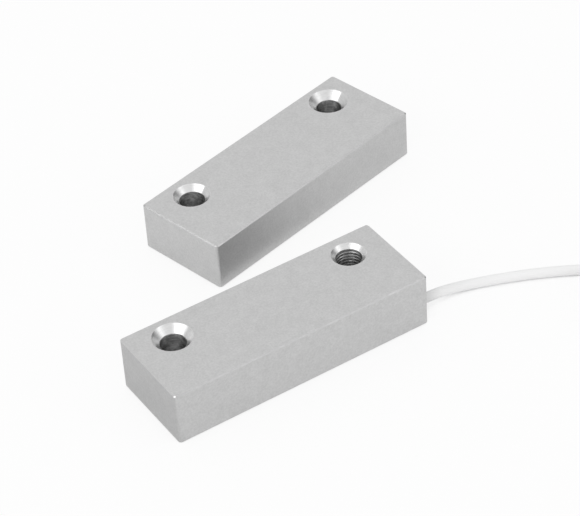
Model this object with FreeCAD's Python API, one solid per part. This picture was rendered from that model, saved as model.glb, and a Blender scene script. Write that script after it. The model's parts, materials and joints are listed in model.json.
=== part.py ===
import FreeCAD, Part
import math
import os

# Surface-mount magnetic contact: a potted reed switch on a cord, and the potted magnet that works it.
# Frame: X along the switch half towards its cord, Y towards the screw-hole edge, Z up.
# The origin is the middle of the switch half's underside. All lengths are in millimetres.

Vector = FreeCAD.Vector
up = Vector(0, 0, 1)

# Blocks: both halves are as long as each other, and each is sawn from its own flat bar
block_length = 60.0
switch_width = 21.4
switch_height = 12.3
magnet_width = 22.3
magnet_height = 11.2
side_edge_radius = 0.7
top_edge_break = 0.25
base_edge_radius = 0.3

# Where the magnet half stands beside the switch half
magnet_place_x = 28.0
magnet_place_y = 42.1
magnet_turn_deg = 13.5

# Screw holes: in a row nearer the back edge. Each one is drilled and sunk by itself, so its place along
# the block and its rim's diameter are given for the left hole and then the right one.
hole_to_back_face = 5.9
hole_diameter = 5.5
switch_hole_places = (-21.1, 21.3)
magnet_hole_places = (-20.9, 22.2)
switch_rim_diameters = (8.5, 7.4)
magnet_rim_diameters = (8.0, 8.7)
countersink_angle_deg = 82.0

# Pockets: both are milled from below, along a line at one distance from the front face
pocket_line_to_front = 5.8
pocket_corner_radius = 2.0

# Switch half's pocket, with a ledge for the board and a deeper relief above it
pocket_width = 8.0
pocket_end_wall = 7.0
switch_roof = 3.0
relief_depth = 1.6
ledge_width = 1.3
resin_recess = 0.3

# Circuit board
board_thickness = 1.0
board_edge_gap = 0.2
board_to_pocket_end = 3.1
board_to_cord = 1.4
board_corner_radius = 0.5

# Reed switch: a glass capsule with a flattened blade sealed in each end
glass_length = 14.0
glass_diameter = 2.3
glass_wall = 0.35
glass_seal_length = 2.2
glass_end_fullness = 0.8
glass_to_board = 0.2
reed_lead_diameter = 0.5
reed_lead_reach = 4.5
reed_lead_to_board_end = 4.4
reed_lead_bend_radius = 0.8
blade_width = 1.1
blade_thickness = 0.25
blade_overlap = 1.2
blade_taper_length = 0.8
contact_gap = 0.15

# Solder joints, all of one kind
board_hole_diameter = 0.8
solder_pad_diameter = 1.8
solder_height = 0.65
solder_waist_share = 0.3
solder_tip_margin = 0.1
wire_tip_length = 0.9

# Cord: round white jacket over two insulated cores
cord_diameter = 2.2
cord_length = 457.0
cord_exit_from_front = 4.4
cord_exit_height = 2.6
cord_bore_gap = 0.1
cord_bore_break = 0.3
cord_inside_length = 11.0
core_diameter = 1.0
conductor_diameter = 0.5
core_pitch = 1.04
core_run_in = 2.5
core_hole_reach = 5.8
core_hole_pitch = 3.2
core_strip_length = 0.8
cord_exit_y = -switch_width / 2 + cord_exit_from_front

# Cord's route: straight out of the bore, down on to the surface, and along it to the coil
route_bends = [
    Vector(33.4, cord_exit_y, cord_exit_height),
    Vector(40.6, -6.25, cord_diameter / 2),
    Vector(49.3, -9.4, cord_diameter / 2),
    Vector(59.3, -14.1, cord_diameter / 2),
    Vector(69.3, -20.5, cord_diameter / 2),
    Vector(78.0, -27.4, cord_diameter / 2),
]
arc_share = 0.45

# Put-away coil, its tie, and the stripped end. The tail leaves from one of the coil's layers, counted
# from 0 at the bottom.
coil_radius = 11.8
coil_columns = 2
coil_layers = 3
coil_slack = 0.2
coil_edge_radius = 1.0
tie_width = 2.6
tie_thickness = 0.4
tie_angle_deg = -160.0
tail_layer = 1
tail_resting_length = 7.0
tail_sag = 0.3
tail_drop_length = 6.5
tail_flat_length = 6.0
stripped_core_length = 11.0
stripped_core_spread_deg = 14.0
tinned_tip_length = 5.0

# Bar magnet and its pocket
magnet_bar_length = 30.0
magnet_bar_width = 6.0
magnet_bar_thickness = 5.0
magnet_bar_chamfer = 0.4
magnet_pocket_gap = 0.5
magnet_pocket_end_gap = 2.0
magnet_roof = 2.6

# How far a cutting shape runs past the face that it cuts
cutter_margin = 1.0

# Heights and lines that follow from the sizes above
pocket_middle_y = -switch_width / 2 + pocket_line_to_front
magnet_pocket_y = -magnet_width / 2 + pocket_line_to_front
pocket_length = block_length - 2 * pocket_end_wall
ledge_z = switch_height - switch_roof - relief_depth
board_bottom_z = ledge_z - board_thickness
reed_z = board_bottom_z - glass_to_board - glass_diameter / 2
wire_tip_z = ledge_z + wire_tip_length
end_face_x = block_length / 2
cord_start_x = end_face_x - cord_inside_length
core_hole_x = cord_start_x - core_hole_reach
board_left_x = -pocket_length / 2 + board_to_pocket_end
board_right_x = cord_start_x - board_to_cord


def unit(vector):
    """The direction of a vector, one long."""
    return vector * (1 / vector.Length)


def turned_solid(profile):
    """A solid of revolution about Z, from (radius, height) corners."""
    corners = [Vector(radius, 0, height) for radius, height in profile]
    outline = Part.makePolygon(corners + corners[:1])
    return Part.Face(outline).revolve(Vector(0, 0, 0), up, 360)


def rounded_prism(length, width, low, high, corner_radius, middle):
    """An upright prism with round corners, as an end mill leaves it; middle is (x, y)."""
    corner = Vector(middle[0] - length / 2, middle[1] - width / 2, low)
    prism = Part.makeBox(length, width, high - low, corner)
    upright = [edge for edge in prism.Edges if abs(edge.Vertexes[0].Z - edge.Vertexes[1].Z) > 1e-6]
    return prism.makeFillet(corner_radius, upright)


def level_edges(solid, height):
    """The edges that lie all round a solid at one height."""
    return [edge for edge in solid.Edges if all(abs(v.Z - height) < 1e-6 for v in edge.Vertexes)]


def block_body(width, height):
    """The outside of a half: soft upright edges, a crisp broken top edge and a rounder base edge."""
    body = rounded_prism(block_length, width, 0, height, side_edge_radius, (0, 0))
    body = body.makeChamfer(top_edge_break, level_edges(body, height))
    return body.makeFillet(base_edge_radius, level_edges(body, 0))


def screw_hole_cutter(height, rim_diameter):
    """A through hole with its countersink, standing on the origin."""
    half_angle = math.radians(countersink_angle_deg / 2)
    bore = hole_diameter / 2
    rim = rim_diameter / 2
    depth = (rim - bore) / math.tan(half_angle)
    profile = [
        (0, -cutter_margin),
        (bore, -cutter_margin),
        (bore, height - depth),
        (rim, height),
        (rim, height + cutter_margin),
        (0, height + cutter_margin),
    ]
    return turned_solid(profile)


def drilled_block(width, height, places, rim_diameters):
    """A half's block with both of its screw holes."""
    block = block_body(width, height)
    for place, rim_diameter in zip(places, rim_diameters):
        cutter = screw_hole_cutter(height, rim_diameter)
        block = block.cut(cutter.translated(Vector(place, width / 2 - hole_to_back_face, 0)))
    return block


def routed_wire(points, bend_radius=None):
    """Straight runs joined by tangent arcs, and the radii of the arcs."""
    edges = []
    radii = []
    start = points[0]
    for before, corner, after in zip(points, points[1:], points[2:]):
        along_in = unit(corner - before)
        along_out = unit(after - corner)
        half_turn = along_in.getAngle(along_out) / 2
        set_back = arc_share * min((corner - before).Length, (after - corner).Length)
        radius = set_back / math.tan(half_turn)
        if bend_radius is not None:
            radius = bend_radius
            set_back = radius * math.tan(half_turn)
        arc_start = corner - along_in * set_back
        arc_end = corner + along_out * set_back
        towards_centre = unit(along_out - along_in)
        arc_middle = corner + towards_centre * (radius / math.cos(half_turn) - radius)
        edges.append(Part.LineSegment(start, arc_start).toShape())
        edges.append(Part.Arc(arc_start, arc_middle, arc_end).toShape())
        radii.append(radius)
        start = arc_end
    edges.append(Part.LineSegment(start, points[-1]).toShape())
    return Part.Wire(edges), radii


def round_tube(points, diameter, bend_radius=None):
    """A solid round wire or cord along a route."""
    path, radii = routed_wire(points, bend_radius)
    section = Part.Wire(Part.makeCircle(diameter / 2, points[0], points[1] - points[0]))
    return path.makePipeShell([section], True, False), path.Length, radii


def plain_rod(start, end, diameter):
    """A straight round rod between two points."""
    return Part.makeCylinder(diameter / 2, (end - start).Length, start, end - start)


def save(name, solid):
    """One solid to a STEP file of its own name."""
    print(f"{name}: {len(solid.Solids)} solid, valid {solid.isValid()}, {solid.Volume:.2f} mm3")
    solid.exportStep(f"parts/{name}.step")


def wire_end_in_board(x, y):
    """Where a wire stands upright in a board hole: its tip above the board."""
    return Vector(x, y, wire_tip_z)


# Switch housing: block, screw holes, stepped pocket and the bore that the cord comes out of
def pocket_space(from_height):
    """The stepped pocket from a height up to its roof."""
    middle = (0, pocket_middle_y)
    wide = rounded_prism(pocket_length, pocket_width, from_height, ledge_z, pocket_corner_radius, middle)
    relief_length = pocket_length - 2 * ledge_width
    relief_width = pocket_width - 2 * ledge_width
    relief_corner = pocket_corner_radius - ledge_width / 2
    relief_top = ledge_z + relief_depth
    relief = rounded_prism(relief_length, relief_width, from_height, relief_top, relief_corner, middle)
    return wide.fuse(relief).removeSplitter()


def cord_bore_cutter():
    """The bore through the end wall, with its outer edge broken so that it can't cut the cord."""
    bore = cord_diameter / 2 + cord_bore_gap
    profile = [
        (0, -cutter_margin),
        (bore, -cutter_margin),
        (bore, pocket_end_wall - cord_bore_break),
        (bore + cord_bore_break, pocket_end_wall),
        (bore + cord_bore_break, pocket_end_wall + cutter_margin),
        (0, pocket_end_wall + cutter_margin),
    ]
    cutter = turned_solid(profile)
    cutter.rotate(Vector(0, 0, 0), Vector(0, 1, 0), 90)
    cutter.translate(Vector(end_face_x - pocket_end_wall, cord_exit_y, cord_exit_height))
    return cutter


def switch_housing():
    """The switch half's block, open below for the pocket and at the end for the cord."""
    block = drilled_block(switch_width, switch_height, switch_hole_places, switch_rim_diameters)
    return block.cut(pocket_space(-cutter_margin)).cut(cord_bore_cutter())


# Reed switch
reed_hole_left_x = board_left_x + reed_lead_to_board_end
glass_left_x = reed_hole_left_x + reed_lead_reach
glass_right_x = glass_left_x + glass_length
glass_middle_x = (glass_left_x + glass_right_x) / 2
reed_hole_right_x = glass_right_x + reed_lead_reach


def along_x(solid):
    """A solid turned about Z, laid along X on the reed's axis with its foot at the glass's left end."""
    laid = solid.copy()
    laid.rotate(Vector(0, 0, 0), Vector(0, 1, 0), 90)
    laid.translate(Vector(glass_left_x, pocket_middle_y, reed_z))
    return laid


def glass_envelope():
    """The capsule's outside: a tube whose ends are melted down round the leads."""
    rim = glass_diameter / 2
    neck = reed_lead_diameter / 2 + glass_wall
    shoulder = glass_seal_length / 2
    corners = [
        Vector(0, 0, 0),
        Vector(neck, 0, 0),
        Vector(rim, 0, shoulder),
        Vector(rim, 0, glass_length - shoulder),
        Vector(neck, 0, glass_length),
        Vector(0, 0, glass_length),
    ]
    bulge = (rim - neck) * glass_end_fullness
    low_arc = Part.Arc(corners[1], Vector(neck + bulge, 0, shoulder / 2), corners[2])
    high_arc = Part.Arc(corners[3], Vector(neck + bulge, 0, glass_length - shoulder / 2), corners[4])
    edges = [
        Part.LineSegment(corners[0], corners[1]).toShape(),
        low_arc.toShape(),
        Part.LineSegment(corners[2], corners[3]).toShape(),
        high_arc.toShape(),
        Part.LineSegment(corners[4], corners[5]).toShape(),
        Part.LineSegment(corners[5], corners[0]).toShape(),
    ]
    return along_x(Part.Face(Part.Wire(edges)).revolve(Vector(0, 0, 0), up, 360))


def glass_cavity():
    """The sealed space for the blades, closing down to the leads at both seals."""
    inside = glass_diameter / 2 - glass_wall
    lead = reed_lead_diameter / 2
    seal = glass_seal_length
    closing = inside - lead
    profile = [
        (0, seal),
        (lead, seal),
        (inside, seal + closing),
        (inside, glass_length - seal - closing),
        (lead, glass_length - seal),
        (0, glass_length - seal),
    ]
    return along_x(turned_solid(profile))


def reed_blade(side):
    """One contact: a round lead bent up through the board, and inside the glass a pressed flat blade.

    side is -1 for the left blade, which lies above its mate, and 1 for the right one below it.
    """
    hole_x = reed_hole_left_x if side < 0 else reed_hole_right_x
    glass_end_x = glass_left_x if side < 0 else glass_right_x
    seal_x = glass_end_x - side * glass_seal_length
    press_x = seal_x - side * blade_taper_length
    tip_x = glass_middle_x - side * blade_overlap / 2
    level = reed_z - side * (blade_thickness + contact_gap) / 2
    corner = Vector(hole_x, pocket_middle_y, reed_z)
    lead_end = Vector(seal_x, pocket_middle_y, reed_z)
    lead, _, _ = round_tube([wire_end_in_board(hole_x, pocket_middle_y), corner, lead_end],
                            reed_lead_diameter, reed_lead_bend_radius)
    round_end = Part.Wire(Part.makeCircle(reed_lead_diameter / 2, lead_end, Vector(1, 0, 0)))
    flat_corners = [
        Vector(press_x, pocket_middle_y + y * blade_width / 2, level + z * blade_thickness / 2)
        for y, z in ((-1, -1), (1, -1), (1, 1), (-1, 1))
    ]
    flat_start = Part.makePolygon(flat_corners + flat_corners[:1])
    taper = Part.makeLoft([round_end, flat_start], True, True)
    blade = Part.Face(flat_start).extrude(Vector(tip_x - press_x, 0, 0))
    return lead.fuse(taper).fuse(blade)


def reed_glass(blades):
    """The capsule wall, open only where the leads are sealed into it."""
    glass = glass_envelope().cut(glass_cavity())
    for blade in blades:
        glass = glass.cut(blade)
    return glass


# Circuit board and solder joints
soldered_wires = {
    "reed_solder_left": (reed_hole_left_x, pocket_middle_y, reed_lead_diameter),
    "reed_solder_right": (reed_hole_right_x, pocket_middle_y, reed_lead_diameter),
    "core_solder_front": (core_hole_x, pocket_middle_y - core_hole_pitch / 2, conductor_diameter),
    "core_solder_back": (core_hole_x, pocket_middle_y + core_hole_pitch / 2, conductor_diameter),
}


def circuit_board():
    """The strip that carries the reed, held against the pocket's ledge."""
    width = pocket_width - 2 * board_edge_gap
    middle = ((board_left_x + board_right_x) / 2, pocket_middle_y)
    board = rounded_prism(board_right_x - board_left_x, width, board_bottom_z, ledge_z,
                          board_corner_radius, middle)
    for x, y, _ in soldered_wires.values():
        hole = Part.makeCylinder(board_hole_diameter / 2, board_thickness, Vector(x, y, board_bottom_z))
        board = board.cut(hole)
    return board


def solder_joint(x, y, wire_diameter):
    """Solder that fills the hole round a wire and stands up it in a hollow cone."""
    hole = board_hole_diameter / 2
    pad = solder_pad_diameter / 2
    tip = wire_diameter / 2 + solder_tip_margin
    foot = Vector(pad, 0, board_thickness)
    top = Vector(tip, 0, board_thickness + solder_height)
    waist_radius = tip + (pad - tip) * solder_waist_share
    waist = Vector(waist_radius, 0, board_thickness + solder_height * solder_waist_share)
    corners = [Vector(0, 0, 0), Vector(hole, 0, 0), Vector(hole, 0, board_thickness), foot]
    edges = [Part.LineSegment(a, b).toShape() for a, b in zip(corners, corners[1:])]
    edges.append(Part.Arc(foot, waist, top).toShape())
    edges.append(Part.LineSegment(top, Vector(0, 0, top.z)).toShape())
    edges.append(Part.LineSegment(Vector(0, 0, top.z), corners[0]).toShape())
    joint = Part.Face(Part.Wire(edges)).revolve(Vector(0, 0, 0), up, 360)
    wire = Part.makeCylinder(wire_diameter / 2, top.z, Vector(0, 0, 0))
    return joint.cut(wire).translated(Vector(x, y, board_bottom_z))


# Cord inside the housing
def core_route(side):
    """A core's way from the jacket's end to its board hole; side is -1 in front and 1 behind."""
    y_in_jacket = cord_exit_y + side * core_pitch / 2
    y_at_hole = pocket_middle_y + side * core_hole_pitch / 2
    return [
        Vector(cord_start_x, y_in_jacket, cord_exit_height),
        Vector(cord_start_x - core_run_in, y_in_jacket, cord_exit_height),
        Vector(core_hole_x, y_at_hole, cord_exit_height),
        wire_end_in_board(core_hole_x, y_at_hole),
    ]


def core_pieces(side):
    """The copper strand, and the insulation round it up to just below the board."""
    conductor, _, radii = round_tube(core_route(side), conductor_diameter)
    sleeve, _, _ = round_tube(core_route(side), core_diameter)
    strip_z = board_bottom_z - core_strip_length
    stripped = Part.makeBox(block_length, switch_width, switch_height,
                            Vector(-block_length / 2, -switch_width / 2, strip_z))
    print(f"core bend radii {[round(r, 2) for r in radii]}")
    return conductor, sleeve.cut(conductor).cut(stripped)


# Cord outside the housing: the run on the surface, the coil, its tie and the stripped end
coil_start = route_bends[-1]
coil_heading = unit(coil_start - route_bends[-2])
coil_middle = coil_start + coil_heading.cross(up) * coil_radius
coil_inside = coil_radius - coil_columns * cord_diameter / 2 - coil_slack
coil_outside = coil_radius + coil_columns * cord_diameter / 2 + coil_slack
coil_height = coil_layers * cord_diameter
coil_outer_column = coil_radius + (coil_columns - 1) * cord_diameter / 2
tail_level = (tail_layer + 0.5) * cord_diameter


def coil_ring():
    """The outer shape of the bundle of turns."""
    outside = Part.makeCylinder(coil_outside, coil_height, Vector(coil_middle.x, coil_middle.y, 0))
    inside = Part.makeCylinder(coil_inside, coil_height, Vector(coil_middle.x, coil_middle.y, 0))
    ring = outside.cut(inside)
    rims = level_edges(ring, 0) + level_edges(ring, coil_height)
    return ring.makeFillet(coil_edge_radius, rims)


def coil_round_cutter():
    """All that lies inside the coil's outer wall, to cut off the cord where it joins the bundle."""
    low = Vector(coil_middle.x, coil_middle.y, -cutter_margin)
    return Part.makeCylinder(coil_outside, coil_height + 2 * cutter_margin, low)


def coil_tie():
    """A flat tie wrapped tight round the bundle."""
    reach = coil_outside - coil_inside
    outer = Part.makeBox(reach + 2 * tie_thickness, tie_width, coil_height + tie_thickness,
                         Vector(coil_inside - tie_thickness, -tie_width / 2, 0))
    window = Part.makeBox(reach, tie_width, coil_height - tie_thickness,
                          Vector(coil_inside, -tie_width / 2, tie_thickness))
    round_edges = [edge for edge in outer.Edges if abs(edge.Vertexes[0].Y - edge.Vertexes[1].Y) > 1e-6]
    tie = outer.makeFillet(tie_thickness, round_edges).cut(window)
    tie.rotate(Vector(0, 0, 0), up, tie_angle_deg)
    tie.translate(Vector(coil_middle.x, coil_middle.y, 0))
    return tie


def tail_frame(turned_length):
    """Where the last turn lets go of the coil, and its heading there. It lies in the outer column."""
    turned_angle = turned_length / coil_radius
    start_angle = math.atan2(coil_start.y - coil_middle.y, coil_start.x - coil_middle.x)
    angle = start_angle - turned_angle
    outward = Vector(math.cos(angle), math.sin(angle), 0)
    return coil_middle + outward * coil_outer_column, outward.cross(up)


def stripped_core(jacket_end, heading, side):
    """A core laid bare past the jacket's end, sinking to the surface as it fans out, and its tinned tip."""
    sideways = heading.cross(up) * side
    step = stripped_core_length / 3
    route = [jacket_end + sideways * (core_pitch / 2)]
    for share, level in ((0, cord_diameter / 2), (0.5, core_diameter / 2), (1, core_diameter / 2)):
        spread = math.radians(stripped_core_spread_deg) * share
        way = heading * math.cos(spread) + sideways * math.sin(spread)
        point = route[-1] + way * step
        route.append(Vector(point.x, point.y, level))
    core, _, radii = round_tube(route, core_diameter)
    print(f"stripped core radii {[round(r, 1) for r in radii]}")
    tip_end = route[-1] + unit(route[-1] - route[-2]) * tinned_tip_length
    return core, plain_rod(route[-1], tip_end, conductor_diameter)


def cord_outside():
    """The cord's pieces on the surface, with the coil taking up the length that is left over."""
    start = Vector(cord_start_x, cord_exit_y, cord_exit_height)
    tube, route_length, radii = round_tube([start] + route_bends, cord_diameter)
    section = math.pi * cord_diameter ** 2 / 4
    print(f"cord radii {[round(r, 1) for r in radii]}")
    print(f"cord tube volume {tube.Volume:.2f}, section times length {section * route_length:.2f}")
    drop = tail_level - tail_sag - cord_diameter / 2
    tail_length = math.hypot(tail_resting_length, tail_sag) + math.hypot(tail_drop_length, drop)
    tail_length += tail_flat_length
    turned_length = cord_length + cord_inside_length - route_length - tail_length
    print(f"coil turns {turned_length / (2 * math.pi * coil_radius):.3f}, route {route_length:.1f}")
    release, heading = tail_frame(turned_length)
    release.z = tail_level
    clear_of_coil = release + heading * tail_resting_length - up * tail_sag
    landing = clear_of_coil + heading * tail_drop_length - up * drop
    jacket_end = landing + heading * tail_flat_length
    tail, _, tail_radii = round_tube([release, clear_of_coil, landing, jacket_end], cord_diameter)
    print(f"tail radii {[round(r, 1) for r in tail_radii]}")
    ring = coil_ring()
    tie = coil_tie()
    pieces = {
        "cord_tube": tube.cut(coil_round_cutter()),
        "cord_coil": ring.cut(tie),
        "coil_tie": tie,
        "cord_tail": tail.cut(coil_round_cutter()),
    }
    for side, name in ((-1, "left"), (1, "right")):
        core, tip = stripped_core(jacket_end, heading, side)
        pieces[f"tail_core_{name}"] = core
        pieces[f"tail_tip_{name}"] = tip
    return pieces


# Resin that fills the switch half's pocket, hollow where it has set round the pieces
def switch_potting(buried):
    resin = pocket_space(resin_recess)
    for piece in buried:
        resin = resin.cut(piece)
    return resin


# Magnet half
def magnet_pocket(from_height):
    """The round-cornered pocket from a height up to its roof."""
    length = magnet_bar_length + 2 * magnet_pocket_end_gap
    width = magnet_bar_width + 2 * magnet_pocket_gap
    roof_z = magnet_height - magnet_roof
    return rounded_prism(length, width, from_height, roof_z, pocket_corner_radius, (0, magnet_pocket_y))


def magnet_housing():
    """The magnet half's block, open below for the pocket."""
    block = drilled_block(magnet_width, magnet_height, magnet_hole_places, magnet_rim_diameters)
    return block.cut(magnet_pocket(-cutter_margin))


def bar_magnet():
    """The bar, seated against the pocket's roof."""
    roof_z = magnet_height - magnet_roof
    corner = Vector(-magnet_bar_length / 2, magnet_pocket_y - magnet_bar_width / 2,
                    roof_z - magnet_bar_thickness)
    bar = Part.makeBox(magnet_bar_length, magnet_bar_width, magnet_bar_thickness, corner)
    return bar.makeChamfer(magnet_bar_chamfer, bar.Edges)


def stand_magnet_half(solid):
    """Moves a piece of the magnet half to where that half stands."""
    placed = solid.copy()
    placed.rotate(Vector(0, 0, 0), up, magnet_turn_deg)
    placed.translate(Vector(magnet_place_x, magnet_place_y, 0))
    return placed


os.makedirs("parts", exist_ok=True)

save("switch_housing", switch_housing())

blade_left = reed_blade(-1)
blade_right = reed_blade(1)
save("reed_blade_left", blade_left)
save("reed_blade_right", blade_right)
save("reed_glass", reed_glass([blade_left, blade_right]))

board = circuit_board()
save("circuit_board", board)
solder_joints = {name: solder_joint(*wire) for name, wire in soldered_wires.items()}
for name, joint in solder_joints.items():
    save(name, joint)

inner_cores = []
for side, place in ((-1, "front"), (1, "back")):
    conductor, insulation = core_pieces(side)
    save(f"core_conductor_{place}", conductor)
    save(f"core_insulation_{place}", insulation)
    inner_cores += [conductor, insulation]

cord_pieces = cord_outside()
for name, piece in cord_pieces.items():
    save(name, piece)

buried = [glass_envelope(), blade_left, blade_right, board, cord_pieces["cord_tube"]]
buried += list(solder_joints.values()) + inner_cores
save("switch_potting", switch_potting(buried))

magnet_bar = bar_magnet()
save("magnet_housing", stand_magnet_half(magnet_housing()))
save("bar_magnet", stand_magnet_half(magnet_bar))
save("magnet_potting", stand_magnet_half(magnet_pocket(resin_recess).cut(magnet_bar)))
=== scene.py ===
import json
import math

import bmesh
import bpy
from mathutils import Matrix, Vector


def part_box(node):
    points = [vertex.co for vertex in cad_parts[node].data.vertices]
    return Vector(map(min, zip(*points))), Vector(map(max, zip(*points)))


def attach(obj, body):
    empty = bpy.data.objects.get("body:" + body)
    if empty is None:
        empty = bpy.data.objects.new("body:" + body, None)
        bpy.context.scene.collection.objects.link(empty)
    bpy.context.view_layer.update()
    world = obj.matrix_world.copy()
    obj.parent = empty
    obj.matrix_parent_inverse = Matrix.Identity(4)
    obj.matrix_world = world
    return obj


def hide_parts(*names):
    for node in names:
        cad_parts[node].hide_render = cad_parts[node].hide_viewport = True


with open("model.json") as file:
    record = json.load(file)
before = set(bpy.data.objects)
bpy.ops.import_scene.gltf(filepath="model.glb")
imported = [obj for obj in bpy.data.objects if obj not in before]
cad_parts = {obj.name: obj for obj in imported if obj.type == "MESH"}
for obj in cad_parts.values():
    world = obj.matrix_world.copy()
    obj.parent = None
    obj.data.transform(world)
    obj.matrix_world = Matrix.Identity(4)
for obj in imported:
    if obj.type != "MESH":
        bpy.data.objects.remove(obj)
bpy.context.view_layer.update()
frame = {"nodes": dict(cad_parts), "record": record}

# Aluminium blocks: both halves are sawn from drawn bar, blasted to an even matt grain and clear
# anodised. The countersinks are turned bright afterwards; the bores below them are painted dark as
# shade. The broken top edges are a little burnished and carry painted highlight lines.
millimetre = 0.001


class Flow:
    """What flows out of one socket of a shader node. An expression on flows adds its Math nodes."""

    def __init__(self, recipe, socket):
        self.recipe = recipe
        self.socket = socket

    def worked(self, operation, *inputs):
        return self.recipe.add("Math", {"operation": operation}, dict(enumerate(inputs)))

    def __add__(self, other):
        return self.worked("ADD", self, other)

    def __radd__(self, other):
        return self.worked("ADD", other, self)

    def __sub__(self, other):
        return self.worked("SUBTRACT", self, other)

    def __rsub__(self, other):
        return self.worked("SUBTRACT", other, self)

    def __mul__(self, other):
        return self.worked("MULTIPLY", self, other)

    def __rmul__(self, other):
        return self.worked("MULTIPLY", other, self)

    def __pow__(self, other):
        return self.worked("POWER", self, other)

    def rise(self, low, high):
        """A soft step: 0 below low and 1 above high."""
        return self.recipe.add("MapRange", {"interpolation_type": "SMOOTHSTEP"},
                               {"Value": self, "From Min": low, "From Max": high})

    def band(self, middle, half_width, softness):
        """1 inside a band of values round middle, falling off softly at both of its ends."""
        off_middle = self.worked("ABSOLUTE", self - middle)
        return 1 - off_middle.rise(half_width, half_width + softness)

    def waves(self, pitch):
        """Even waves along a length, between 0 and 1."""
        return self.worked("SINE", self * (2 * math.pi / pitch)) * 0.5 + 0.5


class Recipe:
    """A node tree that is written down step by step."""

    def __init__(self, tree):
        self.tree = tree
        tree.nodes.clear()

    def add(self, kind, settings=None, sockets=None, out=0):
        """Adds a node: its settings, then its sockets' values or flows. Gives the named outputs."""
        node = self.tree.nodes.new("ShaderNode" + kind)
        for name, value in (settings or {}).items():
            setattr(node, name, value)
        for name, value in (sockets or {}).items():
            if isinstance(value, Flow):
                self.tree.links.new(value.socket, node.inputs[name])
            else:
                node.inputs[name].default_value = value
        if isinstance(out, tuple):
            return [Flow(self, node.outputs[name]) for name in out]
        return Flow(self, node.outputs[out] if len(node.outputs) else None)

    def mix(self, share, first, second):
        """A colour between two others."""
        return self.add("Mix", {"data_type": "RGBA"}, {0: share, 6: first, 7: second}, out=2)

    def place(self):
        """Where a point of the surface lies in the row frame, in metres."""
        return self.add("TexCoord", out="Object")

    def axes(self, vector):
        """The three numbers of a vector."""
        return self.add("SeparateXYZ", None, {"Vector": vector}, out=("X", "Y", "Z"))

    def grain(self, at, size, detail=2.0, roughness=0.55):
        """Noise whose spots are about size across."""
        return self.add("TexNoise", None, {"Vector": at, "Scale": 1 / size, "Detail": detail,
                                           "Roughness": roughness}, out="Fac")

    def stretched(self, at, scale):
        """The same places, scaled along each axis by itself."""
        return self.add("VectorMath", {"operation": "MULTIPLY"}, {0: at, 1: scale})

    def bump(self, height):
        """A relief whose height is in metres."""
        return self.add("Bump", None, {"Height": height, "Distance": 1.0, "Strength": 1.0})

    def finish(self, **sockets):
        """The surface itself. Names of sockets are written with low lines for spaces."""
        named = {name.replace("_", " "): value for name, value in sockets.items()}
        return self.add("BsdfPrincipled", None, named)


def grey(level):
    return (level, level, level, 1.0)


def new_finish(name):
    """An empty material and the recipe that fills it."""
    material = bpy.data.materials.new(name)
    material.use_nodes = True
    return material, Recipe(material.node_tree)


def finished(recipe, surface):
    """Ends a material's recipe."""
    recipe.add("OutputMaterial", None, {"Surface": surface})


def dress(material, *node_names):
    """Gives CAD nodes their material."""
    for name in node_names:
        for place in frame["nodes"][name].material_slots:
            place.material = material


mounts = {mount["name"]: mount for mount in frame["record"]["mounts"]}
_, switch_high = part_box("switch_housing")
_, magnet_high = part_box("magnet_housing")
bore_radius = mounts["switch_screws"]["dims"]["hole_r_mm"] * millimetre
switch_rims = (4.25 * millimetre, 3.7 * millimetre)
magnet_rims = (4.0 * millimetre, 4.35 * millimetre)
countersink_deg = 82
countersink_slope = math.tan(math.radians(90 - countersink_deg / 2))
switch_pitch = mounts["switch_screws"]["dims"]["spacing_x_mm"] * millimetre
magnet_pitch = mounts["magnet_screws"]["dims"]["pcd_mm"] * millimetre
magnet_turn = math.radians(13.5)


def hole_centres(pattern, pitch, turn):
    """Both screw holes of a half that stands turned by an angle, the left one first."""
    middle = Vector(mounts[pattern]["pos_m"])
    reach = Vector((math.cos(turn), math.sin(turn), 0)) * (pitch / 2)
    return [middle - reach, middle + reach]


switch_holes = hole_centres("switch_screws", switch_pitch, 0)
magnet_holes = hole_centres("magnet_screws", magnet_pitch, magnet_turn)

# Outside: the blasted skin, and the broken edges with their painted highlight lines
matt_grey = grey(0.70)
pit_grey = grey(0.55)
# Painted highlight lines: each edge's tone differs by side and by half, to set how bright its line
# looks.
long_edge_highlight_grey = grey(0.54)
switch_end_edge_highlight_grey = grey(0.70)
magnet_end_edge_highlight_grey = grey(0.53)
burnished_highlight_grey = grey(1.0)
blast_grain = 0.42 * millimetre
blast_patch = 2.6 * millimetre
blast_depth = 0.020 * millimetre
blasted_roughness = 0.40
wear_and_glints_size = 1.6 * millimetre
wear_and_glints_share = 0.1

# Holes: the turned countersinks, and the drilled bores with painted shade
turned_grey = grey(0.82)
dull_turned_grey = grey(0.70)
painted_bore_shade_grey = grey(0.24)
smudged_grey = grey(0.50)
turning_pitch = 0.16 * millimetre
turning_depth = 0.003 * millimetre
turned_roughness = 0.29
groove_pitch = 0.25 * millimetre
groove_depth = 0.06 * millimetre
streak_length = 1.4 * millimetre
streak_squeeze = 8
smudge_size = 1.1 * millimetre
rim_wobble = 0.12 * millimetre
rim_wobble_length = 0.9 * millimetre
edge_blur = 0.05 * millimetre


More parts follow.
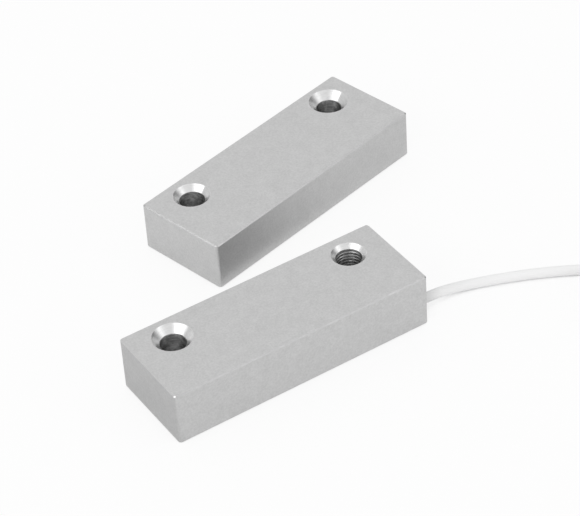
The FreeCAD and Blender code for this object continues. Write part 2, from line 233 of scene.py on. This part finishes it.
def blasted_aluminium(name, holes, rims, end_edge_highlight_grey):
    material, recipe = new_finish(name)
    at = recipe.place()
    x, y, z = recipe.axes(at)

    # Where a point lies: in a hole or outside, and in a hole on its countersink or in its bore
    ragged = (recipe.grain(at, rim_wobble_length, detail=1.0) - 0.5) * rim_wobble
    off_first, off_second = [((x - hole.x) ** 2 + (y - hole.y) ** 2) ** 0.5 for hole in holes]
    in_first, in_second = [1 - (off + ragged).rise(rim, rim + edge_blur)
                           for off, rim in zip((off_first, off_second), rims)]
    in_hole = in_first.worked("MAXIMUM", in_first, in_second)
    off_axis = off_first.worked("MINIMUM", off_first, off_second)
    in_bore = 1 - off_axis.rise(bore_radius + edge_blur, bore_radius + 2 * edge_blur)

    # The skin has fine pits and faint patches. The broken edges are smoother and a little worn.
    # Their tones are also painted highlight lines, set apart for long edges and ends and for each
    # half, with bright glints at random.
    pits = recipe.grain(at, blast_grain, detail=3.0, roughness=0.6)
    patches = recipe.grain(at, blast_patch, detail=2.0)
    tone = (pits - 0.5) * 1.6 + (patches - 0.5) * 0.5 + 0.5
    matt = recipe.mix(tone, pit_grey, matt_grey)
    endwards, _, level = recipe.axes(recipe.add("NewGeometry", out="True Normal"))
    # Real burnish and painted glints: a random mask that brightens bits of the edges.
    wear_and_glints = recipe.grain(at, wear_and_glints_size, detail=3.0).rise(0.45, 0.7)
    on_edge = level.band(middle=0.7, half_width=0.2, softness=0.1)
    on_end = endwards.worked("ABSOLUTE", endwards).rise(0.4, 0.55)
    # Painted highlight: end edges and long edges get different tones.
    edges = recipe.mix(on_end, long_edge_highlight_grey, end_edge_highlight_grey)
    outside = recipe.mix(on_edge, matt, recipe.mix(wear_and_glints * wear_and_glints_share, edges, burnished_highlight_grey))

    # A countersink has fine rings and streaks that run round it. A bore has smudges and grooves on
    # a dark colour that is painted shade.
    rings = off_axis.waves(turning_pitch)
    round_hole = recipe.add("CombineXYZ", None, {"X": off_axis * streak_squeeze, "Y": x, "Z": y})
    streak = recipe.grain(round_hole, streak_length, detail=3.0)
    bright = (streak * 0.75 + rings * 0.25).rise(0.3, 0.7)
    turned = recipe.mix(bright, dull_turned_grey, turned_grey)
    smudge = recipe.grain(at, smudge_size, detail=3.0).rise(0.4, 0.7)
    # Painted shade: the bore's wall is coloured dark for the shade in the hole, with lighter
    # smudges at random.
    drilled = recipe.mix(smudge, painted_bore_shade_grey, smudged_grey)
    grooves = z.waves(groove_pitch)

    colour = recipe.mix(in_hole, outside, recipe.mix(in_bore, turned, drilled))

    matt_roughness = blasted_roughness + (pits - 0.5) * 0.15 - on_edge * 0.08
    hole_roughness = turned_roughness + in_bore * 0.09 + (streak - 0.5) * 0.05
    roughness = matt_roughness + (hole_roughness - matt_roughness) * in_hole
    relief = (pits * (1 - in_hole) * blast_depth + rings * in_hole * (1 - in_bore) * turning_depth
              + grooves * in_bore * groove_depth)
    finished(recipe, recipe.finish(Base_Color=colour, Metallic=1.0, Roughness=roughness,
                                   Normal=recipe.bump(relief)))
    return material


dress(blasted_aluminium("blasted_aluminium_switch", switch_holes, switch_rims,
                        switch_end_edge_highlight_grey), "switch_housing")
dress(blasted_aluminium("blasted_aluminium_magnet", magnet_holes, magnet_rims,
                        magnet_end_edge_highlight_grey), "magnet_housing")


# Ribs in the bores: each screw hole carries the fine spiral that its tap or drill left, a shallow
# ridge of the block's own metal that winds down the wall from the countersink to the underside. It
# is clear only in the switch half's right hole.
rib_pitch = 0.78 * millimetre
switch_rib_heights = (0.02 * millimetre, 0.08 * millimetre)
magnet_rib_heights = (0.02 * millimetre, 0.01 * millimetre)
rib_foot = 0.18 * millimetre
rib_sunk = 0.05 * millimetre
rib_steps = 40
rib_gap = 0.5 * millimetre
sharp_edge = math.radians(35)


def new_piece(name, vertices, faces, material, slot):
    """A mesh of the object: made, dressed, and fixed to the one body."""
    mesh = bpy.data.meshes.new(name)
    mesh.from_pydata(vertices, [], faces)
    shell = bmesh.new()
    shell.from_mesh(mesh)
    bmesh.ops.recalc_face_normals(shell, faces=shell.faces)
    shell.to_mesh(mesh)
    shell.free()
    mesh.shade_smooth()
    mesh.set_sharp_from_angle(angle=sharp_edge)
    piece = bpy.data.objects.new(name, mesh)
    bpy.context.scene.collection.objects.link(piece)
    mesh.materials.append(material)
    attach(piece, "root")
    return piece


def swept(sections, closed=False):
    """Skins a list of rings that have as many points each. An open sweep gets a cap at each end."""
    count = len(sections[0])
    vertices = [point for section in sections for point in section]
    faces = []
    pairs = len(sections) if closed else len(sections) - 1
    for i in range(pairs):
        near = i * count
        far = (i + 1) % len(sections) * count
        for j in range(count):
            k = (j + 1) % count
            faces.append((near + j, near + k, far + k, far + j))
    if not closed:
        faces.append(tuple(reversed(range(count))))
        faces.append(tuple(range(len(vertices) - count, len(vertices))))
    return vertices, faces


def bore_rib(centre, rim, height, top):
    """The ridge's sections, from under the countersink to just above the underside."""
    highest = top - (rim - bore_radius) * countersink_slope - rib_gap
    turns = (highest - rib_gap) / rib_pitch
    sections = []
    for step in range(int(turns * rib_steps) + 1):
        angle = 2 * math.pi * step / rib_steps
        level = highest - rib_pitch * step / rib_steps
        outward = Vector((math.cos(angle), math.sin(angle), 0))
        wall = centre + outward * (bore_radius + rib_sunk)
        crest = centre + outward * (bore_radius - height)
        sections.append([
            Vector((wall.x, wall.y, level + rib_foot)),
            Vector((wall.x, wall.y, level - rib_foot)),
            Vector((crest.x, crest.y, level)),
        ])
    return sections


def drilled_aluminium():
    material, recipe = new_finish("drilled_aluminium")
    smudge = recipe.grain(recipe.place(), 1.3 * millimetre, detail=3.0).rise(0.4, 0.7)
    colour = recipe.mix(smudge, grey(0.34), grey(0.66))
    roughness = 0.42 - smudge * 0.14
    finished(recipe, recipe.finish(Base_Color=colour, Metallic=1.0, Roughness=roughness))
    return material


drilled = drilled_aluminium()
for half, holes, rims, heights, top in (
        ("switch", switch_holes, switch_rims, switch_rib_heights, switch_high.z),
        ("magnet", magnet_holes, magnet_rims, magnet_rib_heights, magnet_high.z)):
    for side, centre, rim, height in zip(("left", "right"), holes, rims, heights):
        rib = swept(bore_rib(centre, rim, height, top))
        new_piece(f"{half}_bore_rib_{side}", *rib, drilled, "blasted_aluminium")


# Potting resin: black epoxy, poured into both pockets from below round everything in them. It has
# cured with a glassy, slightly wavy face that has a few settled specks.
def poured_resin():
    material, recipe = new_finish("poured_resin")
    at = recipe.place()
    swirl = recipe.grain(at, 4 * millimetre, detail=2.0)
    specks = recipe.grain(at, 0.25 * millimetre, detail=1.0).rise(0.66, 0.72)
    colour = recipe.mix(swirl, (0.014, 0.014, 0.016, 1), (0.026, 0.026, 0.030, 1))
    normal = recipe.bump(swirl * (0.12 * millimetre) + specks * (0.02 * millimetre))
    finished(recipe, recipe.finish(Base_Color=colour, Roughness=specks * 0.3 + 0.12, Normal=normal))
    return material


dress(poured_resin(), "switch_potting", "magnet_potting")


# Circuit board: a strip of glass-fibre laminate under green lacquer, with the weave just showing
# through. It seats on the ledge of the switch half's pocket, and the resin holds it there.
weave_pitch = 0.5 * millimetre


def lacquered_laminate():
    material, recipe = new_finish("lacquered_laminate")
    x, y, _ = recipe.axes(recipe.place())
    warp = x.waves(weave_pitch) * 2 - 1
    weft = y.waves(weave_pitch) * 2 - 1
    weave = warp * weft * 0.5 + 0.5
    colour = recipe.mix(weave, (0.020, 0.150, 0.060, 1), (0.035, 0.215, 0.090, 1))
    normal = recipe.bump(weave * (0.01 * millimetre))
    finished(recipe, recipe.finish(Base_Color=colour, Roughness=weave * 0.1 + 0.3, Normal=normal))
    return material


dress(lacquered_laminate(), "circuit_board")


# Reed switch: a tube of faintly green glass, melted shut round two plated nickel-iron leads whose
# ends are pressed into flat blades.
def reed_glass():
    material, recipe = new_finish("reed_glass_clear")
    ripple = recipe.grain(recipe.place(), 1.4 * millimetre, detail=1.0)
    colour = recipe.mix(ripple, (0.86, 0.95, 0.88, 1), (0.93, 0.98, 0.94, 1))
    normal = recipe.bump(ripple * (0.02 * millimetre))
    finished(recipe, recipe.finish(Base_Color=colour, Roughness=0.03, IOR=1.5,
                                   Transmission_Weight=0.9, Normal=normal))
    return material


def drawn_metal(name, dull, bright, roughness, grain_length):
    """A metal with fine lines along X, as drawing, pressing or grinding leaves them."""
    material, recipe = new_finish(name)
    along = recipe.stretched(recipe.place(), (1 / grain_length, 1, 1))
    lines = recipe.grain(along, 0.08 * millimetre)
    colour = recipe.mix(lines, dull, bright)
    finished(recipe, recipe.finish(Base_Color=colour, Metallic=1.0,
                                   Roughness=lines * 0.15 + roughness,
                                   Normal=recipe.bump(lines * (0.006 * millimetre))))
    return material


dress(reed_glass(), "reed_glass")
dress(drawn_metal("plated_nickel_iron", (0.50, 0.49, 0.46, 1), (0.66, 0.64, 0.60, 1),
                  roughness=0.2, grain_length=14), "reed_blade_left", "reed_blade_right")


# Solder joints: cones of tin solder that hold the reed's leads and both cores in the board's holes.
# They are bright under the dull, finely grained skin that cooled solder has.
def tin_solder():
    material, recipe = new_finish("tin_solder")
    skin = recipe.grain(recipe.place(), 0.18 * millimetre, detail=2.0)
    colour = recipe.mix(skin, grey(0.54), grey(0.70))
    normal = recipe.bump(skin * (0.012 * millimetre))
    finished(recipe, recipe.finish(Base_Color=colour, Metallic=1.0, Roughness=skin * 0.2 + 0.16,
                                   Normal=normal))
    return material


dress(tin_solder(), "reed_solder_left", "reed_solder_right",
      "core_solder_front", "core_solder_back")


# Cores: stranded copper in thin insulation, one red and one black. Inside the housing they run to
# the board, where their bared ends are soldered in. Past the jacket's far end they fan out.
def core_insulation(name, dark, light):
    material, recipe = new_finish(name)
    flow_lines = recipe.grain(recipe.place(), 1.2 * millimetre, detail=2.0)
    colour = recipe.mix(flow_lines, dark, light)
    normal = recipe.bump(flow_lines * (0.01 * millimetre))
    finished(recipe, recipe.finish(Base_Color=colour, Roughness=flow_lines * 0.1 + 0.28,
                                   Normal=normal))
    return material


red_insulation = core_insulation(
    "red_insulation", (0.42, 0.012, 0.012, 1), (0.60, 0.030, 0.025, 1))
black_insulation = core_insulation(
    "black_insulation", (0.012, 0.012, 0.013, 1), (0.030, 0.030, 0.032, 1))
dress(red_insulation, "core_insulation_front", "tail_core_left")
dress(black_insulation, "core_insulation_back", "tail_core_right")
dress(drawn_metal("bright_copper", (0.62, 0.27, 0.14, 1), (0.86, 0.46, 0.28, 1),
                  roughness=0.22, grain_length=6), "core_conductor_front", "core_conductor_back")


# Bar magnet: cast magnet alloy, ground dark grey on all its faces. It lies against the roof of the
# magnet half's pocket, and the resin holds it there.
dress(drawn_metal("ground_magnet", grey(0.10), grey(0.20), roughness=0.34, grain_length=10),
      "bar_magnet")


# Cord: a round white jacket over both cores, with painted shade where it leaves the block. It comes
# straight out of its bore, sinks to the surface and wanders off to the right. The rest of its
# length is wound into a small coil.
cord_diameter = 2.2 * millimetre
on_surface = cord_diameter / 2
cord_route = [
    Vector((0.0190, -0.0063, 0.0026)),
    Vector((0.0334, -0.0063, 0.0026)),
    Vector((0.0406, -0.00625, on_surface)),
    Vector((0.0493, -0.0094, on_surface)),
    Vector((0.0593, -0.0141, on_surface)),
    Vector((0.0693, -0.0205, on_surface)),
    Vector((0.0780, -0.0274, on_surface)),
]
coil_low, coil_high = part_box("cord_coil")
coil_middle = (coil_low + coil_high) / 2
coil_radius = 11.8 * millimetre
coil_turns = 5.170
coil_steps = 24
first_coil_step = 2
tie_angle = math.radians(-160)
tie_thickness = 0.4 * millimetre

# Places in the bundle's section, in the order in which the turns fill them: (column, layer). Each
# is left for the next one over the last share of its stretch.
turn_places = [(1, 0), (-1, 0), (-1, 1), (-1, 2), (1, 2), (1, 1)]
crossing_share = 0.148

# Where the tail lies after it leaves the coil: (distance, height), in millimetres
tail_drop = ((7.0, 3.0), (13.5, 1.1), (19.5, 1.1))

# The jacket is greyed with painted shade up to the first of these places along X, and white past
# the last.
cord_painted_shade_grey = grey(0.68)
cord_painted_shade_up_to = (30.5 * millimetre, 37 * millimetre)


def coil_point(turned):
    """A point of the winding after so many turns. Each place in the bundle holds under one turn."""
    filled = turned / coil_turns * len(turn_places)
    index = min(int(filled), len(turn_places) - 1)
    along = filled - index
    crossing = max(0.0, (along - (1 - crossing_share)) / crossing_share)
    crossing = crossing * crossing * (3 - 2 * crossing)
    here = turn_places[index]
    after = turn_places[min(index + 1, len(turn_places) - 1)]
    column = here[0] + (after[0] - here[0]) * crossing
    layer = here[1] + (after[1] - here[1]) * crossing
    start = cord_route[-1] - coil_middle
    angle = math.atan2(start.y, start.x) - 2 * math.pi * turned
    lift = tie_thickness * (1 + math.cos(angle - tie_angle)) / 2
    radius = coil_radius + column * cord_diameter / 2
    level = cord_diameter * (0.5 + layer) + lift
    return Vector((coil_middle.x + radius * math.cos(angle),
                   coil_middle.y + radius * math.sin(angle), level))


coil_points = [coil_point(step / coil_steps)
               for step in range(first_coil_step, int(coil_turns * coil_steps) + 1)]
release = coil_point(coil_turns)
outward = release - coil_middle
tail_heading = Vector((outward.y, -outward.x, 0)).normalized()
tail_points = [release]
for distance, level in tail_drop:
    point = release + tail_heading * (distance * millimetre)
    tail_points.append(Vector((point.x, point.y, level * millimetre)))


def cord_jacket():
    material, recipe = new_finish("white_cord_jacket")
    at = recipe.place()
    haze = recipe.grain(at, 5 * millimetre, detail=2.0)
    skin = recipe.grain(at, 0.2 * millimetre, detail=2.0)
    x, _, _ = recipe.axes(at)
    # Painted shade: the jacket greys near the block, where the block shades it.
    cord_painted_shade = (1 - x.rise(*cord_painted_shade_up_to)) * (haze * 0.2 + 0.8)
    white = recipe.mix(haze * 0.7 + skin * 0.3, grey(0.94), grey(0.98))
    colour = recipe.mix(cord_painted_shade, white, cord_painted_shade_grey)
    normal = recipe.bump(skin * (0.006 * millimetre))
    finished(recipe, recipe.finish(Base_Color=colour, Roughness=skin * 0.12 + 0.32, Normal=normal))
    return material


def new_cord(name, points, diameter, material):
    """A round cord on one smooth line."""
    curve = bpy.data.curves.new(name, "CURVE")
    curve.dimensions = "3D"
    curve.bevel_depth = diameter / 2
    curve.bevel_resolution = 6
    curve.resolution_u = 6
    curve.use_fill_caps = True
    spline = curve.splines.new("NURBS")
    spline.points.add(len(points) - 1)
    for control, point in zip(spline.points, points):
        control.co = (*point, 1)
    spline.order_u = 3
    spline.use_endpoint_u = True
    curve.materials.append(material)
    piece = bpy.data.objects.new(name, curve)
    bpy.context.scene.collection.objects.link(piece)
    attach(piece, "root")
    return piece


cord = new_cord("cord", cord_route + coil_points + tail_points, cord_diameter,
                cord_jacket())
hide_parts("cord_tube", "cord_coil", "cord_tail")


# Tie round the coil: a natural nylon strap drawn tight round the turns. Its square head sits on top
# of them, and the strap's cut end stands a little way out of the head's slot.
tie_width = 2.6 * millimetre
strap_bevel = 0.08 * millimetre
strap_inside = coil_radius - cord_diameter - tie_thickness / 2
strap_outside = coil_radius + cord_diameter + tie_thickness / 2
strap_bottom = tie_thickness / 2
strap_top = 3 * cord_diameter + tie_thickness * 1.5  # over three layers of turns
strap_corner = (cord_diameter + tie_thickness) / 2
corner_steps = 8
head_half_length = 1.7 * millimetre
head_half_width = 2.1 * millimetre
head_corner = 0.5 * millimetre
head_height = 2.6 * millimetre
head_bevel = 0.3 * millimetre
slot_play = 0.25 * millimetre
slot_depth = 0.9 * millimetre
stub_height = 1.3 * millimetre
stub_slant = 0.3 * millimetre
tie_outward = Vector((math.cos(tie_angle), math.sin(tie_angle), 0))
tie_aside = Vector((-math.sin(tie_angle), math.cos(tie_angle), 0))


def tie_point(radius, level, aside):
    """A point of the tie: its distance off the coil's middle, its height and its place aside."""
    return Vector((coil_middle.x, coil_middle.y, level)) + tie_outward * radius + tie_aside * aside


def bevelled(half_width, half_height, bevel):
    """The corners of a rectangle round nought whose own corners are cut off."""
    inner_width = half_width - bevel
    inner_height = half_height - bevel
    return [(inner_width, -half_height), (half_width, -inner_height), (half_width, inner_height),
            (inner_width, half_height), (-inner_width, half_height), (-half_width, inner_height),
            (-half_width, -inner_height), (-inner_width, -half_height)]


def tie_strap():
    """The loop: four rounded corners with straight runs between them."""
    outline = bevelled(tie_width / 2, tie_thickness / 2, strap_bevel)
    corners = [(strap_outside - strap_corner, strap_bottom + strap_corner),
               (strap_outside - strap_corner, strap_top - strap_corner),
               (strap_inside + strap_corner, strap_top - strap_corner),
               (strap_inside + strap_corner, strap_bottom + strap_corner)]
    sections = []
    for quarter, (radius, level) in enumerate(corners):
        for step in range(corner_steps + 1):
            angle = math.pi / 2 * (quarter - 1 + step / corner_steps)
            sections.append([
                tie_point(radius + (strap_corner + out) * math.cos(angle),
                          level + (strap_corner + out) * math.sin(angle), aside)
                for aside, out in outline])
    return swept(sections, closed=True)


def tie_head():
    """The head, from its foot on the turns up to its top face and down into its slot."""
    foot = strap_top - tie_thickness / 2
    top = foot + head_height
    slot = (tie_thickness / 2 + slot_play, tie_width / 2 + slot_play)
    sections = []
    for level, half_length, half_width in (
            (foot, head_half_length - head_bevel, head_half_width - head_bevel),
            (foot + head_bevel, head_half_length, head_half_width),
            (top - head_bevel, head_half_length, head_half_width),
            (top, head_half_length - head_bevel, head_half_width - head_bevel),
            (top, *slot),
            (top - slot_depth, *slot)):
        corner = min(head_corner, half_length / 2)
        sections.append([tie_point(coil_radius + along, level, aside)
                         for along, aside in bevelled(half_length, half_width, corner)])
    return swept(sections)


def tie_stub():
    """The cut end of the strap: it stands in the slot, and the cutters left its top at a slant."""
    foot = strap_top - tie_thickness / 2 + head_height - slot_depth
    top = foot + slot_depth + stub_height
    outline = bevelled(tie_thickness / 2, tie_width / 2, strap_bevel)
    low = [tie_point(coil_radius + along, foot, aside) for along, aside in outline]
    high = [tie_point(coil_radius + along, top + stub_slant * aside / tie_width, aside)
            for along, aside in outline]
    return swept([low, high])


def joined(*parts):
    """Several shells as one piece."""
    vertices = []
    faces = []
    for part_vertices, part_faces in parts:
        first = len(vertices)
        vertices.extend(part_vertices)
        faces.extend(tuple(first + corner for corner in face) for face in part_faces)
    return vertices, faces


natural_nylon = core_insulation("natural_nylon", grey(0.62), grey(0.72))
strap = new_piece("tie_strap", *joined(tie_strap(), tie_stub()), natural_nylon, "tie_plastic")
head = new_piece("tie_head", *tie_head(), natural_nylon, "tie_plastic")
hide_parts("coil_tie")


# Tinned ends: each core's seven copper strands, bared, twisted by hand and dipped in tin, so that
# they go into a terminal without fraying.
strand_count = 7
strand_radius = 0.083 * millimetre
strand_lay_radius = 0.167 * millimetre
strand_twists = 1.4
strand_steps = 28
strand_sides = 8


def rod_ends(name):
    """The middles of a plain rod's two ends, the one nearer to the jacket first."""
    corners = [vertex.co for vertex in frame["nodes"][name].data.vertices]
    rings = ([corner for corner in corners if (corner - corners[0]).length < millimetre],
             [corner for corner in corners if (corner - corners[0]).length >= millimetre])
    ends = [sum(ring, Vector()) / len(ring) for ring in rings]
    return sorted(ends, key=lambda end: (end - tail_points[-1]).length)


def tinned_strands(name):
    """One strand in the middle and the others twisted round it, from end to end of a plain rod."""
    start, end = rod_ends(name)
    way = (end - start).normalized()
    aside = way.cross(Vector((0, 0, 1))).normalized()
    over = aside.cross(way)
    strands = []
    for strand in range(strand_count):
        lay_radius = strand_lay_radius if strand else 0
        sections = []
        for step in range(strand_steps + 1):
            share = step / strand_steps
            angle = 2 * math.pi * (strand / (strand_count - 1) + strand_twists * share)
            lay = (aside * math.cos(angle) + over * math.sin(angle)) * lay_radius
            middle = start.lerp(end, share) + lay
            sections.append([
                middle + (aside * math.cos(around) + over * math.sin(around)) * strand_radius
                for around in (2 * math.pi * side / strand_sides for side in range(strand_sides))])
        strands.append(swept(sections))
    return joined(*strands)


tinned = drawn_metal("tinned_strand", grey(0.55), grey(0.75), roughness=0.2, grain_length=2)
for side in ("left", "right"):
    bare_end = new_piece(f"tinned_end_{side}", *tinned_strands(f"tail_tip_{side}"),
                         tinned, "tinned_wire")
    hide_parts(f"tail_tip_{side}")


# Studio: a white floor that keeps the blocks' soft shadow and carries painted shadows that the
# metal mirrors, two soft boxes, a sky with a few brighter and darker sides that the metal shows,
# and the camera at the photograph's angle.
subject = Vector((0.018563, 0.023753, 0.0))
magnet_middle = Vector(mounts["magnet_base"]["pos_m"])
floor_reach = 12.0
floor_drop = 0.02 * millimetre
shadow_reach = 5 * millimetre
# Painted shadows on the floor, which only the blocks' mirror shows
painted_shadow_between = 0.70
painted_shadow_beside = 0.30
white_seen = 0.89
white_mirrored = 0.55
white_through = 0.6
lamp_distance = 1.6


def studio_floor():
    """White to the camera. For other rays, painted shadows darken it between the halves and beside
    the switch half's left end, and the blocks mirror them.
    """
    corners = [(-floor_reach, -floor_reach, 0), (floor_reach, -floor_reach, 0),
               (floor_reach, floor_reach, 0), (-floor_reach, floor_reach, 0)]
    mesh = bpy.data.meshes.new("studio_floor")
    mesh.from_pydata(corners, [], [(0, 1, 2, 3)])
    floor = bpy.data.objects.new("studio_floor", mesh)
    floor.location.z = -floor_drop
    bpy.context.scene.collection.objects.link(floor)
    material, recipe = new_finish("white_floor")
    at = recipe.place()
    x, y, _ = recipe.axes(at)
    from_x = x - magnet_middle.x
    from_y = y - magnet_middle.y
    along = from_x * math.cos(magnet_turn) + from_y * math.sin(magnet_turn)
    in_front = from_x * math.sin(magnet_turn) - from_y * math.cos(magnet_turn)
    # Painted shadows: between the halves, where the switch half's shadow would fall, fading to the
    # right, and beside the switch half's left end.
    between = (in_front.band(middle=25 * millimetre, half_width=10 * millimetre,
                             softness=4 * millimetre)
               * along.band(middle=8 * millimetre, half_width=36 * millimetre,
                            softness=6 * millimetre)
               * (1 - along.rise(-28 * millimetre, 20 * millimetre) * 0.74))
    beside = (x.band(middle=-38 * millimetre, half_width=5 * millimetre,
                     softness=8 * millimetre)
              * y.band(middle=5 * millimetre, half_width=16 * millimetre,
                       softness=10 * millimetre))
    painted_shadow = between * painted_shadow_between + beside * painted_shadow_beside
    paper = recipe.mix(recipe.grain(at, 0.4, detail=1.0), grey(0.93), grey(0.95))
    seen, mirrored, through = recipe.add(
        "LightPath", out=("Is Camera Ray", "Is Glossy Ray", "Is Transmission Ray"))
    # Painted shadow: for every ray but the camera's, the floor's colour goes dark grey in these
    # bands.
    colour = recipe.mix(painted_shadow * (1 - seen), paper, grey(0.10))
    lit = recipe.finish(Base_Color=colour, Roughness=0.9)
    white = recipe.add("Emission", None, {
        "Color": recipe.mix(seen, grey(0.92), grey(1.0)), "Strength": 1.0})
    open_sky = recipe.add("AmbientOcclusion", {"samples": 8}, {"Distance": shadow_reach}, out="AO")
    shown = (seen * white_seen * open_sky.rise(0.0, 0.6)
             + (mirrored * white_mirrored + through * white_through) * (1 - painted_shadow))
    finished(recipe, recipe.add("MixShader", None, {0: shown, 1: lit, 2: white}))
    mesh.materials.append(material)


def seen_from(azimuth, height):
    """The way out from the blocks. Azimuth 0 is in front, and a quarter turn is at the right."""
    return Vector((math.sin(azimuth) * math.cos(height),
                   -math.cos(azimuth) * math.cos(height), math.sin(height)))


def soft_box(name, azimuth_deg, height_deg, width, height, power):
    """An area lamp that faces the blocks."""
    towards = seen_from(math.radians(azimuth_deg), math.radians(height_deg))
    lamp = bpy.data.lights.new(name, "AREA")
    lamp.shape = "RECTANGLE"
    lamp.size = width
    lamp.size_y = height
    lamp.energy = power
    box = bpy.data.objects.new(name, lamp)
    box.location = subject + towards * lamp_distance
    box.rotation_euler = towards.to_track_quat("Z", "Y").to_euler()
    bpy.context.scene.collection.objects.link(box)


studio_floor()
soft_box("soft_box_left", azimuth_deg=-81, height_deg=36, width=1.92, height=0.60, power=5.7)
soft_box("soft_box_front", azimuth_deg=37, height_deg=27, width=0.76, height=0.50, power=0.8)

world = bpy.data.worlds.new("studio_sky")
world.use_nodes = True
bpy.context.scene.world = world
sky = Recipe(world.node_tree)
sky_x, sky_y, sky_z = sky.axes(sky.add("TexCoord", out="Generated"))


def side_of_sky(x, y, z, low, high):
    """A soft round patch of the sky about a direction."""
    return (sky_x * x + sky_y * y + sky_z * z).rise(low, high)


back_panel = side_of_sky(0.39, 0.66, 0.64, 0.2, 0.95)
front_panel = side_of_sky(0.25, -0.83, 0.5, 0.3, 0.9)
left_panel = side_of_sky(-0.68, 0.65, 0.34, 0.85, 0.97)
right_wall = side_of_sky(0.995, 0.087, 0.052, 0.74, 0.95)
sky_level = 0.49 + back_panel * 0.40 + front_panel * 0.43 + left_panel * 0.15 - right_wall * 0.46
sky.add("OutputWorld", None, {"Surface": sky.add("Background", None, {
    "Color": grey(1.0), "Strength": sky_level})})

# Camera: azimuth, height and roll of the photograph's view, as its blocks' corners give them. The
# lens and the photograph's width are both in the photograph's pixels.
view_azimuth = math.radians(-30.753)
view_height = math.radians(39.783)
view_roll = math.radians(-4.09)
view_distance = 0.540447
view_lens = 2542.0
photo_width = 580.0
sensor_width = 36.0
backward = seen_from(view_azimuth, view_height)
level_right = Vector((math.cos(view_azimuth), math.sin(view_azimuth), 0))
level_up = backward.cross(level_right)
right = level_right * math.cos(view_roll) + level_up * math.sin(view_roll)
upward = backward.cross(right)
camera_data = bpy.data.cameras.new("camera")
camera_data.sensor_width = sensor_width
camera_data.lens = view_lens / photo_width * sensor_width
camera_data.clip_start = 0.01
camera = bpy.data.objects.new("camera", camera_data)
facing = Matrix((right, upward, backward)).transposed().to_4x4()
camera.matrix_world = Matrix.Translation(subject + backward * view_distance) @ facing
bpy.context.scene.collection.objects.link(camera)
bpy.context.scene.camera = camera
bpy.context.scene.view_settings.view_transform = "Standard"
